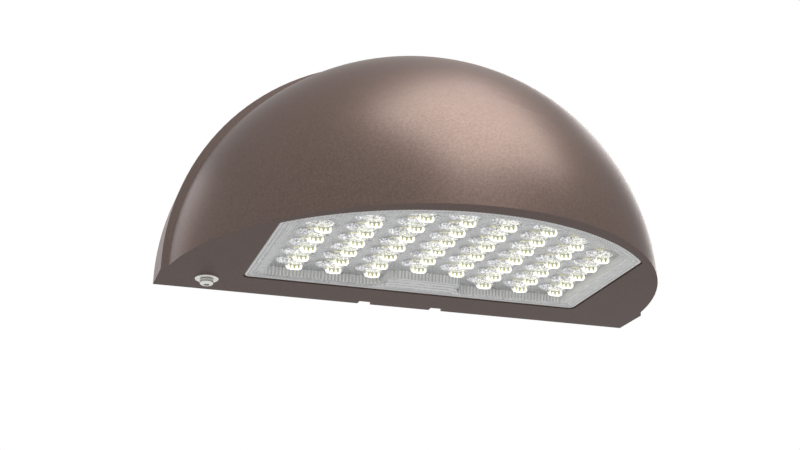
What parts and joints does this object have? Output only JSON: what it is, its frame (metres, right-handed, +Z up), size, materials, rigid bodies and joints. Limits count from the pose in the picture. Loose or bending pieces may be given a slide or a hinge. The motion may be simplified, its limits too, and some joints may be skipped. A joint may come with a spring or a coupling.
{
  "type": "wall pack light",
  "caption": "Half-dome outdoor LED wall light with a bronze die-cast housing, clear downward lens and a hook-hinged wall plate closed by a captive screw.",
  "frame": {"origin": "centre of the wall plate's junction box slots, on the wall plane", "axes": "+X to the right seen from in front, +Y into the wall, +Z up"},
  "size_m": [0.381, 0.221, 0.1957],
  "materials": {
    "bronze_paint": "fine textured bronze powder coat",
    "clear_lens": "clear moulded lens",
    "black_foam": "closed-cell foam",
    "white_silicone": "soft silicone",
    "bare_aluminium": "milled",
    "white_board": "white solder mask",
    "thermal_grey": "soft pad",
    "led_phosphor": "yellow phosphor",
    "zinc_screws": "zinc plated",
    "stainless": "stainless steel",
    "green_screw": "green earth screw",
    "driver_metal": "white painted case",
    "driver_plastic": "black plastic",
    "white_plastic": "white plastic",
    "lead_red": "red wire insulation",
    "lead_black": "black wire insulation"
  },
  "bodies": {
    "wall_plate": {"wall_plate": "bronze_paint", "wall_gasket": "black_foam", "ground_screw": "green_screw"},
    "housing": {"housing": "bronze_paint", "lens": "clear_lens", "window_gasket": "black_foam", "lens_seal": "white_silicone", "led_tray": "bare_aluminium", "led_board_left": "white_board", "led_board_right": "white_board", "thermal_pad_left": "thermal_grey", "thermal_pad_right": "thermal_grey", "leds_left": "led_phosphor", "leds_right": "led_phosphor", "board_screws": "zinc_screws", "board_connectors": "white_plastic", "lens_screws": "zinc_screws", "tray_screws": "zinc_screws", "driver_case": "driver_metal", "driver_end_plates": "driver_plastic", "driver_brackets": "zinc_screws", "driver_screws": "zinc_screws", "surge_protector": "driver_plastic", "surge_screws": "zinc_screws", "terminal_block": "white_plastic", "terminal_screws": "zinc_screws", "breather_vent": "driver_plastic", "lead_grommets": "white_silicone", "led_leads": "lead_red", "supply_leads": "lead_black", "hinge_rod": "stainless", "screw_washer": "stainless"},
    "captive_screw": {"captive_screw": "stainless", "retaining_ring": "stainless"},
    "clamp_nut": {"clamp_nut": "zinc_screws"}
  },
  "joints": [
    {"name": "housing_tilt", "type": "hinge", "parent": "wall_plate", "child": "housing", "pos_m": [0, -0.018, 0.08645], "axis": [-1, 0, 0], "range_deg": [0, 30]},
    {"name": "screw_turn", "type": "hinge", "parent": "housing", "child": "captive_screw", "pos_m": [-0.1555, -0.028, -0.095], "axis": [0, 0, -1], "range_deg": [0, 2160]},
    {"name": "nut_travel", "type": "slide", "parent": "housing", "child": "clamp_nut", "axis": [0, 0, 1], "range_m": [0, 0.006]}
  ],
  "couplings": [
    {"joint": "screw_turn", "follows": "nut_travel", "rad_per_m": 6283.2}
  ]
}
